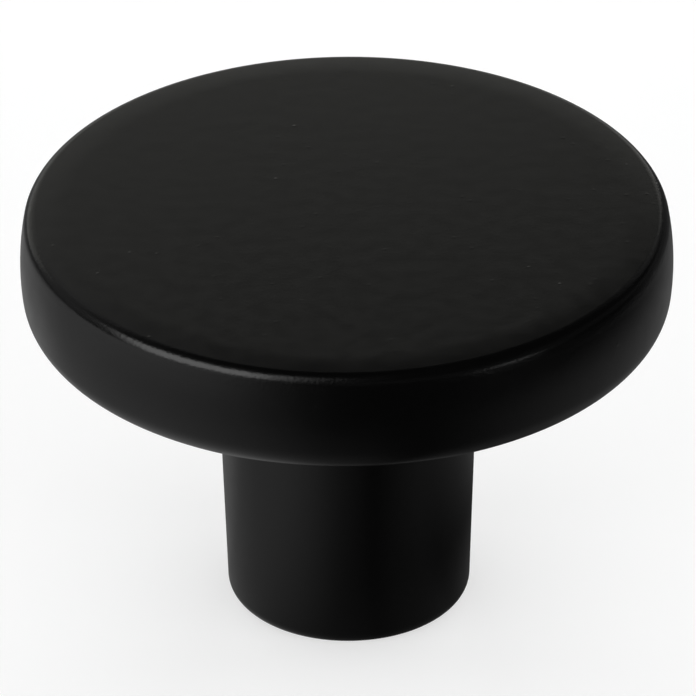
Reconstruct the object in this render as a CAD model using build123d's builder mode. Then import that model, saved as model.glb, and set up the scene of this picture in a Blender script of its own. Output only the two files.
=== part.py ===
from build123d import *
from math import radians, tan
import os

# Round cabinet knob, cast in one piece: a flat disc head on a drafted stem, with a blind
# screw hole in the foot of the stem.
# Millimetres. +Z points away from the cabinet face, and the origin is the centre of the
# mounting face at the foot of the stem.

# Head
head_diameter = 32.0  # at the middle of the rim
head_thickness = 5.6
projection = 21.5  # from the mounting face to the top of the head
rim_bulge = 0.32  # the middle of the rim stands out this far beyond its corners
top_edge_radius = 0.65
lower_edge_radius = 1.6

# Stem
foot_diameter = 12.0
stem_draft = 1.85  # degrees, so the stem widens towards the head
stem_root_chamfer = 0.6  # inside corner where the stem meets the head
foot_chamfer = 0.5

# Screw hole, drilled to the tapping size of an M4 screw
drill_diameter = 3.3
drill_depth = 13.0  # full-diameter depth from the mounting face
drill_point_angle = 118.0
mouth_diameter = 4.6  # countersink at the mounting face
mouth_angle = 90.0

# Heights and radii that follow from the driving sizes
head_radius = head_diameter / 2
rim_corner_x = head_radius - rim_bulge
foot_radius = foot_diameter / 2
underside_height = projection - head_thickness
rim_middle_height = underside_height + head_thickness / 2
stem_root_x = foot_radius + underside_height * tan(radians(stem_draft))

drill_radius = drill_diameter / 2
mouth_radius = mouth_diameter / 2
mouth_depth = (mouth_radius - drill_radius) / tan(radians(mouth_angle / 2))
point_depth = drill_radius / tan(radians(drill_point_angle / 2))

with BuildPart() as knob:
    # Half section of the casting, from the foot round to the middle of the top face
    with BuildSketch(Plane.XZ) as section:
        with BuildLine():
            foot = Line((0, 0), (foot_radius, 0))
            flank = Line(foot @ 1, (stem_root_x, underside_height))
            underside = Line(flank @ 1, (rim_corner_x, underside_height))
            rim = ThreePointArc(underside @ 1, (head_radius, rim_middle_height), (rim_corner_x, projection))
            top_face = Line(rim @ 1, (0, projection))
            Line(top_face @ 1, foot @ 0)
        make_face()
        top_corners = section.vertices().sort_by_distance((rim_corner_x, projection))
        fillet(top_corners[0], radius=top_edge_radius)
        lower_corners = section.vertices().sort_by_distance((rim_corner_x, underside_height))
        fillet(lower_corners[0], radius=lower_edge_radius)
        root_corners = section.vertices().sort_by_distance((stem_root_x, underside_height))
        chamfer(root_corners[0], length=stem_root_chamfer)
        foot_corners = section.vertices().sort_by_distance((foot_radius, 0))
        chamfer(foot_corners[0], length=foot_chamfer)
    revolve(axis=Axis.Z)

    # Blind screw hole: countersunk mouth, straight bore and the cone left by the drill
    with BuildSketch(Plane.XZ):
        with BuildLine():
            Polyline(
                (0, 0),
                (mouth_radius, 0),
                (drill_radius, mouth_depth),
                (drill_radius, drill_depth),
                (0, drill_depth + point_depth),
                close=True,
            )
        make_face()
    revolve(axis=Axis.Z, mode=Mode.SUBTRACT)

knob.part.label = "knob"

os.makedirs("parts", exist_ok=True)
export_step(knob.part, "parts/knob.step")

print("knob volume", round(knob.part.volume, 1), "mm3")
print("straight bore", round(drill_depth - mouth_depth, 3), "mm long, radius", drill_radius)
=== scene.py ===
from math import asin, cos, pi, radians, sin, tan

import bmesh
import bpy
from mathutils import Matrix, Vector


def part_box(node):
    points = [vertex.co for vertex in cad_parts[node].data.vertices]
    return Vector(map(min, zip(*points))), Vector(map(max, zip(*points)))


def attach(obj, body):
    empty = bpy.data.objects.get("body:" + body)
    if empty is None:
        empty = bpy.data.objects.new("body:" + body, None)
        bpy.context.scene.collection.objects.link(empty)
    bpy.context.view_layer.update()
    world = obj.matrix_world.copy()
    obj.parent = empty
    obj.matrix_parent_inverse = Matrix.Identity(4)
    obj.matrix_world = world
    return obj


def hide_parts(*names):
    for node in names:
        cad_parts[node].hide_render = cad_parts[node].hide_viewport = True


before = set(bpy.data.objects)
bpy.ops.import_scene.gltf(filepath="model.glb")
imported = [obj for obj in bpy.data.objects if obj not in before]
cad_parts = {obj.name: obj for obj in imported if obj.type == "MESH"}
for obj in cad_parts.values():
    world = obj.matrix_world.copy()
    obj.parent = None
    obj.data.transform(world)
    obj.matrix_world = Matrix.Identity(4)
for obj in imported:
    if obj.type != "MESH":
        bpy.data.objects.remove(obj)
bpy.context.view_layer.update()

mm = 0.001  # the frame is in metres
sharpAngle = 25.0  # degrees, only true corners pass it, the rounds step by less
white = (1.0, 1.0, 1.0, 1.0)
scene = bpy.context.scene
knobLow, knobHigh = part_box("knob")
print("frame loaded, knob box", [round(v / mm, 2) for v in (*knobLow, *knobHigh)])


def newPiece(name, bm, material):
    mesh = bpy.data.meshes.new(name)
    bm.to_mesh(mesh)
    bm.free()
    mesh.shade_smooth()
    mesh.set_sharp_from_angle(angle=radians(sharpAngle))
    piece = bpy.data.objects.new(name, mesh)
    scene.collection.objects.link(piece)
    piece.data.materials.append(material)
    return piece


def newMaterial(name):
    material = bpy.data.materials.new(name)
    material.use_nodes = True
    tree = material.node_tree
    return material, tree, tree.nodes["Principled BSDF"]


def newNode(tree, kind, inputs, **settings):  # an input is a plain value or another node's output
    node = tree.nodes.new("ShaderNode" + kind)
    for name, value in settings.items():
        setattr(node, name, value)
    for name, value in inputs.items():
        if isinstance(value, bpy.types.NodeSocket):
            tree.links.new(value, node.inputs[name])
        else:
            node.inputs[name].default_value = value
    return node.outputs


def smoothBetween(tree, value, low, high):  # a mask that comes up from low to high
    return newNode(
        tree, "MapRange", {"Value": value, "From Min": low, "From Max": high},
        interpolation_type="SMOOTHSTEP",
    )["Result"]


def product(tree, first, second):
    return newNode(tree, "Math", {0: first, 1: second}, operation="MULTIPLY")["Value"]


noiseRange = (0.3, 0.7)  # most of a noise texture's values lie between these


def makeUnevenGroup():  # noise that gives a surface its height and an uneven gloss
    tree = bpy.data.node_groups.new("unevenSurface", "ShaderNodeTree")
    sockets = tree.interface
    sockets.new_socket("Vector", in_out="INPUT", socket_type="NodeSocketVector")
    for name in ("Scale", "Detail", "Low", "High"):
        sockets.new_socket(name, in_out="INPUT", socket_type="NodeSocketFloat")
    for name in ("Height", "Roughness"):
        sockets.new_socket(name, in_out="OUTPUT", socket_type="NodeSocketFloat")
    given = tree.nodes.new("NodeGroupInput").outputs
    noise = newNode(
        tree, "TexNoise", {"Vector": given["Vector"], "Scale": given["Scale"], "Detail": given["Detail"]},
    )["Fac"]
    least, most = noiseRange
    gloss = newNode(
        tree, "MapRange",
        {"Value": noise, "From Min": least, "From Max": most,
         "To Min": given["Low"], "To Max": given["High"]},
    )["Result"]
    result = tree.nodes.new("NodeGroupOutput").inputs
    tree.links.new(noise, result["Height"])
    tree.links.new(gloss, result["Roughness"])
    return tree


unevenGroup = makeUnevenGroup()


def unevenSurface(tree, place, size, detail, roughness):
    low, high = roughness
    return newNode(
        tree, "Group", {"Vector": place, "Scale": 1 / size, "Detail": detail, "Low": low, "High": high},
        node_tree=unevenGroup,
    )


# Satin black paint on the casting
paint = {
    "baseColor": (0.001, 0.001, 0.001, 1.0),
    "roughness": (0.235, 0.265),
    "specularLevel": 0.3,
    "peelSize": 0.16 * mm,  # orange peel of the sprayed coat
    "peelDetail": 2.0,
    "peelDepth": 0.002 * mm,
    "edgeDepth": 0.011 * mm,  # more of it on the head's upper edge, where the coat draws back
    "edgeRadius": (15.1 * mm, 15.4 * mm),
    "edgeHeight": (20.4 * mm, 20.8 * mm),
    "sagSize": 0.9 * mm,  # slow unevenness of the coat's thickness
    "sagDetail": 0.0,
    "sagDepth": 0.0033 * mm,
    "speckCore": 0.4,  # share of a speck's radius that has its full height
    "nibSpacing": 2.0 * mm,  # specks of dust caught in the paint
    "nibRadius": 0.1 * mm,
    "nibHeight": 0.0085 * mm,
    "nibColor": (0.004, 0.004, 0.0038, 1.0),
    "dustSpacing": 1.0 * mm,  # softer grains under the coat that lie in patches
    "dustRadius": 0.13 * mm,
    "dustHeight": 0.003 * mm,
    "dustTone": 0.3,  # share of the specks' colour
    "patchSize": 4.0 * mm,
    "patchRange": (0.4, 0.55),  # noise values between which a patch comes up
}


def speckMask(tree, place, spacing, radius):
    cell = newNode(tree, "TexVoronoi", {"Vector": place, "Scale": 1 / spacing})["Distance"]
    return smoothBetween(tree, cell, radius / spacing, paint["speckCore"] * radius / spacing)


def upperEdgeMask(tree, place):
    across = newNode(tree, "VectorMath", {0: place, 1: (1.0, 1.0, 0.0)}, operation="MULTIPLY")["Vector"]
    radius = newNode(tree, "VectorMath", {0: across}, operation="LENGTH")["Value"]
    height = newNode(tree, "SeparateXYZ", {"Vector": place})["Z"]
    ring = smoothBetween(tree, radius, *paint["edgeRadius"])
    return product(tree, ring, smoothBetween(tree, height, *paint["edgeHeight"]))


def makePaint():
    material, tree, shader = newMaterial("satinBlackPaint")
    place = newNode(tree, "TexCoord", {})["Object"]
    peel = newNode(
        tree, "TexNoise", {"Vector": place, "Scale": 1 / paint["peelSize"], "Detail": paint["peelDetail"]},
    )["Fac"]
    edgePeel = product(tree, peel, upperEdgeMask(tree, place))
    sag = unevenSurface(tree, place, paint["sagSize"], paint["sagDetail"], paint["roughness"])
    nib = speckMask(tree, place, paint["nibSpacing"], paint["nibRadius"])
    patch = newNode(tree, "TexNoise", {"Vector": place, "Scale": 1 / paint["patchSize"]})["Fac"]
    dust = product(
        tree, speckMask(tree, place, paint["dustSpacing"], paint["dustRadius"]),
        smoothBetween(tree, patch, *paint["patchRange"]),
    )
    specks = newNode(tree, "Math", {0: dust, 1: paint["dustTone"], 2: nib}, operation="MULTIPLY_ADD")["Value"]
    color = newNode(
        tree, "Mix", {"Factor": specks, "A": paint["baseColor"], "B": paint["nibColor"]}, data_type="RGBA",
    )["Result"]
    height = product(tree, peel, paint["peelDepth"])
    layers = (
        (edgePeel, paint["edgeDepth"]), (sag["Height"], paint["sagDepth"]),
        (nib, paint["nibHeight"]), (dust, paint["dustHeight"]),
    )
    for layer, depth in layers:
        height = newNode(tree, "Math", {0: layer, 1: depth, 2: height}, operation="MULTIPLY_ADD")["Value"]
    bump = newNode(tree, "Bump", {"Strength": 1.0, "Distance": 1.0, "Height": height})["Normal"]
    tree.links.new(color, shader.inputs["Base Color"])
    tree.links.new(sag["Roughness"], shader.inputs["Roughness"])
    tree.links.new(bump, shader.inputs["Normal"])
    shader.inputs["Specular IOR Level"].default_value = paint["specularLevel"]
    return material


# The casting: a half section drawn point by point, then spun about the axis
casting = {
    "headRadius": knobHigh.x,
    "projection": knobHigh.z,
    "headThickness": 5.6 * mm,
    "rimBulge": 0.32 * mm,  # the middle of the rim stands out beyond its corners
    "shoulderRadius": 30.0 * mm,  # soft roll of the top face before its edge
    "shoulderAngle": 3.0,  # degrees
    "topEdgeRound": 0.65 * mm,
    "lowerEdgeRound": 1.6 * mm,
    "stemRootRound": 0.8 * mm,
    "footRadius": 6.0 * mm,
    "stemDraft": 1.85,  # degrees, the stem widens towards the head
    "footRound": 0.75 * mm,
    "mouthRadius": 2.3 * mm,
    "boreRadius": 2.0 * mm,
    "drillRadius": 1.65 * mm,
    "threadEnd": 11.0 * mm,
    "drillDepth": 13.0 * mm,
    "drillPointAngle": 118.0,  # degrees
    "shoulderSteps": 10,
    "headEdgeSteps": 24,
    "rimSteps": 20,
    "stemRoundSteps": 12,
    "turnSteps": 256,
    "longRun": 1.0 * mm,  # a straight run over this is cut up, to keep the rounds' shading off the flats
    "longRunCuts": 7,
    "mergeDistance": 0.0002 * mm,
}


def lineTo(bm, vert, x, z):
    newVert = bmesh.ops.extrude_vert_indiv(bm, verts=[vert])["verts"][0]
    newVert.co = (x, 0, z)
    return newVert


def arcRound(bm, vert, x, z, angle, steps):  # a positive angle runs clockwise in the section
    turned = bmesh.ops.spin(
        bm, geom=[vert], cent=(x, 0, z), axis=(0, 1, 0), dvec=(0, 0, 0), angle=angle, steps=steps,
    )
    return [item for item in turned["geom_last"] if isinstance(item, bmesh.types.BMVert)][0]


def makeCasting(material):
    size = casting
    top, underside = size["projection"], size["projection"] - size["headThickness"]
    half = size["headThickness"] / 2
    rimMiddle = underside + half
    rimRadius = (half ** 2 + size["rimBulge"] ** 2) / (2 * size["rimBulge"])
    rimX = size["headRadius"] - rimRadius
    # the two edge rounds touch the rim's arc from inside
    shoulder, lean = size["shoulderRadius"], radians(size["shoulderAngle"])
    edge, low = size["topEdgeRound"], size["lowerEdgeRound"]
    edgeZ = top - shoulder + (shoulder - edge) * cos(lean)
    edgeTurn = asin((edgeZ - rimMiddle) / (rimRadius - edge))
    edgeX = rimX + (rimRadius - edge) * cos(edgeTurn)
    shoulderX = edgeX - (shoulder - edge) * sin(lean)
    lowZ = underside + low
    lowTurn = asin((rimMiddle - lowZ) / (rimRadius - low))
    lowX = rimX + (rimRadius - low) * cos(lowTurn)
    # rounds at the two ends of the drafted stem
    draft = radians(size["stemDraft"])
    root, foot = size["stemRootRound"], size["footRound"]
    rootZ = underside - root
    rootX = size["footRadius"] + rootZ * tan(draft) + root / cos(draft)
    footX = size["footRadius"] + foot * tan(draft) - foot / cos(draft)
    mouth, bore, drill = size["mouthRadius"], size["boreRadius"], size["drillRadius"]
    point = drill / tan(radians(size["drillPointAngle"] / 2))

    bm = bmesh.new()
    pen = bm.verts.new((0, 0, top))
    pen = lineTo(bm, pen, shoulderX, top)
    pen = arcRound(bm, pen, shoulderX, top - shoulder, lean, size["shoulderSteps"])
    pen = arcRound(bm, pen, edgeX, edgeZ, pi / 2 - lean - edgeTurn, size["headEdgeSteps"])
    pen = arcRound(bm, pen, rimX, rimMiddle, edgeTurn + lowTurn, size["rimSteps"])
    pen = arcRound(bm, pen, lowX, lowZ, pi / 2 - lowTurn, size["headEdgeSteps"])
    pen = lineTo(bm, pen, rootX, underside)
    pen = arcRound(bm, pen, rootX, rootZ, -(pi / 2 - draft), size["stemRoundSteps"])
    pen = lineTo(bm, pen, footX + foot * cos(draft), foot - foot * sin(draft))
    pen = arcRound(bm, pen, footX, foot, pi / 2 - draft, size["stemRoundSteps"])
    pen = lineTo(bm, pen, mouth, 0)
    pen = lineTo(bm, pen, bore, mouth - bore)
    pen = lineTo(bm, pen, bore, size["threadEnd"])
    pen = lineTo(bm, pen, drill, size["threadEnd"] + bore - drill)
    pen = lineTo(bm, pen, drill, size["drillDepth"])
    pen = lineTo(bm, pen, 0, size["drillDepth"] + point)
    print("casting section ends at", [round(v / mm, 3) for v in pen.co])
    straights = [line for line in bm.edges if line.calc_length() > size["longRun"]]
    bmesh.ops.subdivide_edges(bm, edges=straights, cuts=size["longRunCuts"])
    bmesh.ops.spin(
        bm, geom=bm.verts[:] + bm.edges[:], cent=(0, 0, 0), axis=(0, 0, 1), dvec=(0, 0, 0),
        angle=2 * pi, steps=size["turnSteps"], use_merge=True,
    )
    bmesh.ops.remove_doubles(bm, verts=bm.verts[:], dist=size["mergeDistance"])
    bmesh.ops.recalc_face_normals(bm, faces=bm.faces[:])
    return newPiece("knob_casting", bm, material)


knob = makeCasting(makePaint())
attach(knob, "root")
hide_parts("knob")
print("casting made", len(knob.data.polygons), "faces")

# Bare zinc thread for the screw: one tooth wound up the bore
zinc = {
    "baseColor": (0.42, 0.43, 0.45, 1.0),
    "roughness": (0.28, 0.46),
    "grainSize": 0.09 * mm,
    "grainDetail": 3.0,
    "grainDepth": 0.004 * mm,
}
thread = {
    "pitch": 0.7 * mm,
    "baseRadius": casting["boreRadius"] + 0.02 * mm,  # sunk a little into the bore's wall
    "crestRadius": casting["drillRadius"],
    "baseWidth": 0.58 * mm,
    "crestWidth": 0.175 * mm,
    "start": 0.62 * mm,
    "turns": 14,
    "turnSteps": 48,
    "runOut": 0.4,  # share of a turn over which the tooth comes up at each end
}


def makeZinc():
    material, tree, shader = newMaterial("bareZinc")
    place = newNode(tree, "TexCoord", {})["Object"]
    grain = unevenSurface(tree, place, zinc["grainSize"], zinc["grainDetail"], zinc["roughness"])
    bump = newNode(tree, "Bump", {"Strength": 1.0, "Distance": zinc["grainDepth"], "Height": grain["Height"]})
    tree.links.new(grain["Roughness"], shader.inputs["Roughness"])
    tree.links.new(bump["Normal"], shader.inputs["Normal"])
    shader.inputs["Base Color"].default_value = zinc["baseColor"]
    shader.inputs["Metallic"].default_value = 1.0
    return material


def makeThread(material):
    base, crest = thread["baseRadius"], thread["crestRadius"]
    halfBase, halfCrest = thread["baseWidth"] / 2, thread["crestWidth"] / 2
    pitch, turns, steps = thread["pitch"], thread["turns"], thread["turnSteps"]
    bm = bmesh.new()
    corners = ((base, -halfBase), (crest, -halfCrest), (crest, halfCrest), (base, halfBase))
    tooth = [bm.verts.new((x, 0, thread["start"] + z)) for x, z in corners]
    outline = [bm.edges.new((tooth[i - 1], tooth[i])) for i in range(len(tooth))]
    bmesh.ops.spin(
        bm, geom=tooth + outline, cent=(0, 0, 0), axis=(0, 0, 1), dvec=(0, 0, pitch / steps),
        angle=2 * pi * turns, steps=turns * steps,
    )
    bmesh.ops.holes_fill(bm, edges=[line for line in bm.edges if line.is_boundary], sides=len(corners))
    for vert in bm.verts:  # the crest sinks into the wall at both ends
        radius = vert.co.xy.length
        turn = (vert.co.z - thread["start"]) / pitch
        rise = min(1, max(0, min(turn, turns - turn) / thread["runOut"]))
        if radius < (base + crest) / 2:
            vert.co.xy *= (base + (radius - base) * rise) / radius
    bmesh.ops.recalc_face_normals(bm, faces=bm.faces[:])
    return newPiece("screw_thread", bm, material)


tappedThread = makeThread(makeZinc())
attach(tappedThread, "root")
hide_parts("knob")
print("thread made", len(tappedThread.data.polygons), "faces")

# Floor with a round backdrop
floor = {
    "radius": 1.2,
    "backdropHeight": 0.8,
    "color": (0.5, 0.5, 0.5, 1.0),
    "roughness": 0.9,
    "glow": 0.545,  # lifts the floor to near white with no more light on the knob
    "segments": 96,
}


def makeFloor():
    material, tree, shader = newMaterial("paleFloor")
    rays = newNode(tree, "LightPath", {})
    seen = rays["Is Camera Ray"]
    for name in ("Is Glossy Ray", "Is Transmission Ray"):
        seen = newNode(tree, "Math", {0: seen, 1: rays[name]}, operation="MAXIMUM")["Value"]
    tree.links.new(product(tree, seen, floor["glow"]), shader.inputs["Emission Strength"])
    shader.inputs["Emission Color"].default_value = white
    shader.inputs["Base Color"].default_value = floor["color"]
    shader.inputs["Roughness"].default_value = floor["roughness"]
    shader.inputs["Specular IOR Level"].default_value = 0.0
    bm = bmesh.new()
    bmesh.ops.create_circle(bm, cap_ends=True, radius=floor["radius"], segments=floor["segments"])
    ground = newPiece("floor", bm, material)
    bm = bmesh.new()
    bmesh.ops.create_cone(
        bm, cap_ends=False, radius1=floor["radius"], radius2=floor["radius"],
        depth=floor["backdropHeight"], segments=floor["segments"],
    )
    bmesh.ops.translate(bm, verts=bm.verts[:], vec=(0, 0, floor["backdropHeight"] / 2))
    backdrop = newPiece("backdrop", bm, material)
    for piece in (ground, backdrop):
        # the painted reflection card stands in for them in reflections, so the glow's glossy part has no
        # effect here
        piece.visible_glossy = False


def towards(azimuth, elevation):  # degrees from the camera's side round by the right, and up
    around, up = radians(azimuth), radians(elevation)
    return Vector((sin(around) * cos(up), -cos(around) * cos(up), sin(up)))


# Painted reflections: a glowing card on the floor that only reflections see. Its dark ground is painted shade
# of the floor round the knob, and its paler zones are painted reflections of lit floor, where the paint shows
# them
# Each glow has its side, the cosines between which it comes up, and its share at distances from the axis
card = {
    "radius": 0.4,
    "height": 0.05 * mm,
    "segments": 96,
    # the card's ground tone is painted shade, and each glow below is a painted reflection of lit floor
    "dark": 0.012,
    "glows": [
        {"azimuth": 292, "spread": (0.4, 1.1), "tone": 0.50,
         "shares": ((6 * mm, 0.42), (10 * mm, 0.68), (14 * mm, 0.82), (45 * mm, 1.0))},
        {"azimuth": 294, "spread": (0.7, 1.0), "tone": 0.45, "shares": ((40 * mm, 0.0), (110 * mm, 1.0))},
        {"azimuth": 222, "spread": (0.75, 1.0), "tone": 0.33,
         "shares": ((10 * mm, 0.5), (20 * mm, 0.9), (34 * mm, 1.0), (58 * mm, 0.75), (110 * mm, 0.4))},
        {"azimuth": 135, "spread": (0.87, 0.98), "tone": 0.085, "shares": ((55 * mm, 0.0), (80 * mm, 1.0))},
        {"azimuth": 330, "spread": (0.6, 1.0), "tone": 0.17,
         "shares": ((8 * mm, 0.4), (20 * mm, 1.0), (28 * mm, 1.0), (52 * mm, 0.0))},
        {"azimuth": 100, "spread": (0.1, 1.0), "tone": 0.20,
         "shares": ((11 * mm, 0.1), (23 * mm, 1.0), (43 * mm, 1.0), (66 * mm, 0.0))},
        {"azimuth": 51, "spread": (0.975, 0.996), "tone": 1.1, "shares": ((150 * mm, 0.0), (200 * mm, 1.0))},
        {"azimuth": 42, "spread": (0.88, 1.0), "tone": 0.045,
         "shares": ((7 * mm, 0.7), (11 * mm, 1.0), (16 * mm, 1.0), (24 * mm, 0.0))},
        {"azimuth": 20, "spread": (-1.0, 0.5), "tone": 0.05, "shares": ((7 * mm, 1.0), (12 * mm, 0.0))},
    ],
}


def makeGlow(tree, direction, reach, glow):
    cosine = newNode(
        tree, "VectorMath", {0: direction, 1: towards(glow["azimuth"], 0)}, operation="DOT_PRODUCT",
    )["Value"]
    start, full = glow["spread"]
    side = product(tree, smoothBetween(tree, cosine, start, full), glow["tone"])
    ramp = tree.nodes.new("ShaderNodeValToRGB")
    tree.links.new(reach, ramp.inputs["Fac"])
    stops = ramp.color_ramp.elements
    while len(stops) < len(glow["shares"]):
        stops.new(1.0)
    for stop, (away, share) in zip(stops, glow["shares"]):
        stop.position, stop.color = away / card["radius"], (share, share, share, 1.0)
    return product(tree, side, ramp.outputs["Color"])


def makeCard():
    material, tree, shader = newMaterial("paintedReflectionCard")
    place = newNode(tree, "TexCoord", {})["Object"]
    direction = newNode(tree, "VectorMath", {0: place}, operation="NORMALIZE")["Vector"]
    distance = newNode(tree, "VectorMath", {0: place}, operation="LENGTH")["Value"]
    reach = newNode(tree, "Math", {0: distance, 1: card["radius"]}, operation="DIVIDE")["Value"]
    tone = card["dark"]
    for glow in card["glows"]:
        share = makeGlow(tree, direction, reach, glow)
        tone = newNode(tree, "Math", {0: share, 1: tone}, operation="ADD")["Value"]
    # the summed tone, painted shade and painted reflections together, is emitted as light
    tree.links.new(tone, shader.inputs["Emission Color"])
    shader.inputs["Emission Strength"].default_value = 1.0
    shader.inputs["Base Color"].default_value = (0.0, 0.0, 0.0, 1.0)
    shader.inputs["Specular IOR Level"].default_value = 0.0
    bm = bmesh.new()
    bmesh.ops.create_circle(bm, cap_ends=True, radius=card["radius"], segments=card["segments"])
    bmesh.ops.translate(bm, verts=bm.verts[:], vec=(0, 0, card["height"]))
    piece = newPiece("card", bm, material)
    piece.visible_camera = False
    piece.visible_diffuse = False
    piece.visible_shadow = False


makeFloor()
makeCard()

# Lamps stand at an azimuth and elevation as seen from the knob, and their size is width and height
# The gloss lamps draw the reflections on the paint, the soft ones light only what is matt, mostly the floor
glossLamps = [
    {"name": "key", "azimuth": 302, "elevation": 32, "distance": 0.5, "size": (0.42, 0.36),
     "radiance": 4.0, "turn": 18},
    {"name": "keyLow", "azimuth": 308, "elevation": 4, "distance": 0.5, "size": (0.46, 0.08),
     "radiance": 1.0},
    {"name": "keySide", "azimuth": 332, "elevation": 44, "distance": 0.5, "size": (0.16, 0.38),
     "radiance": 0.9},
    {"name": "streak", "azimuth": 56, "elevation": 3, "distance": 0.5, "size": (0.10, 0.05),
     "radiance": 3.0},
    {"name": "frontWall", "azimuth": 5, "elevation": 20, "distance": 0.5, "size": (0.7, 0.24),
     "radiance": 0.04},
    {"name": "rightWall", "azimuth": 80, "elevation": 20, "distance": 0.5, "size": (0.7, 0.24),
     "radiance": 0.045},
    {"name": "backLow", "azimuth": 192, "elevation": 17, "distance": 0.25, "size": (0.35, 0.12),
     "radiance": 0.51, "color": (1.0, 1.0, 0.94)},
    {"name": "backEdge", "azimuth": 192, "elevation": 5, "distance": 0.25, "size": (0.35, 0.035),
     "radiance": 0.6},
    {"name": "backHigh", "azimuth": 204, "elevation": 40, "distance": 0.25, "size": (0.12, 0.07),
     "radiance": 0.3},
    {"name": "backCorner", "azimuth": 222, "elevation": 46, "distance": 0.5, "size": (0.21, 0.13),
     "radiance": 0.25},
    {"name": "backLeft", "azimuth": 244, "elevation": 23, "distance": 0.5, "size": (0.40, 0.36),
     "radiance": 0.235},
    {"name": "backFar", "azimuth": 136, "elevation": 8, "distance": 0.5, "size": (0.38, 0.14),
     "radiance": 0.09},
    {"name": "backRight", "azimuth": 150, "elevation": 30, "distance": 0.5, "size": (0.21, 0.13),
     "radiance": 0.2},
]
softLamps = [
    {"name": "fill" + side, "azimuth": azimuth, "elevation": 18, "distance": 0.8, "size": (1.1, 0.45),
     "radiance": 2.8}
    for side, azimuth in (("FrontRight", 45), ("BackRight", 135), ("BackLeft", 225), ("FrontLeft", 315))
]
softLamps.append(
    {"name": "ceiling", "azimuth": 0, "elevation": 90, "distance": 0.7, "size": (1.0, 1.0),
     "radiance": 0.56},
)
lampAim = Vector((0, 0, 18 * mm))  # about the middle of the head


def makeLamp(name, azimuth, elevation, distance, size, radiance, turn=0, color=white[:3]):
    light = bpy.data.lights.new(name, "AREA")
    light.shape = "RECTANGLE"
    light.color = color
    light.size, light.size_y = size
    light.energy = radiance * light.size * light.size_y * pi
    lamp = bpy.data.objects.new(name, light)
    outward = towards(azimuth, elevation)
    lamp.location = lampAim + outward * distance
    facing = outward.to_track_quat("Z", "Y").to_matrix() @ Matrix.Rotation(radians(turn), 3, "Z")
    lamp.rotation_euler = facing.to_euler()
    lamp.visible_camera = False
    scene.collection.objects.link(lamp)
    return lamp


for spec in glossLamps:
    makeLamp(**spec).visible_diffuse = False
for spec in softLamps:
    makeLamp(**spec).visible_glossy = False

worldStrength = 0.01  # a trace of light from all round


def makeWorld():
    world = bpy.data.worlds.new("studio")
    scene.world = world
    world.use_nodes = True
    background = world.node_tree.nodes["Background"]
    background.inputs["Color"].default_value = white
    background.inputs["Strength"].default_value = worldStrength


makeWorld()
print("floor, card and", len(glossLamps) + len(softLamps), "lamps made")

# Camera at the photograph's angle, a long lens from about half a metre
view = {
    "elevation": 31.06,  # degrees
    "distance": 0.4785,
    "aim": (0.00003, 0.0, 0.01362),
    "roll": -0.4,  # degrees
    "lens": 502.4,  # millimetres, like the sensor's width
    "sensorWidth": 36.0,
    "clip": (0.01, 10),
}


def makeCamera():
    data = bpy.data.cameras.new("camera")
    data.sensor_width = view["sensorWidth"]
    data.lens = view["lens"]
    data.clip_start, data.clip_end = view["clip"]
    camera = bpy.data.objects.new("camera", data)
    back = towards(0, view["elevation"])
    camera.location = Vector(view["aim"]) + back * view["distance"]
    facing = back.to_track_quat("Z", "Y").to_matrix() @ Matrix.Rotation(radians(view["roll"]), 3, "Z")
    camera.rotation_euler = facing.to_euler()
    scene.collection.objects.link(camera)
    scene.camera = camera


makeCamera()
scene.view_settings.view_transform = "Standard"
print("camera set")
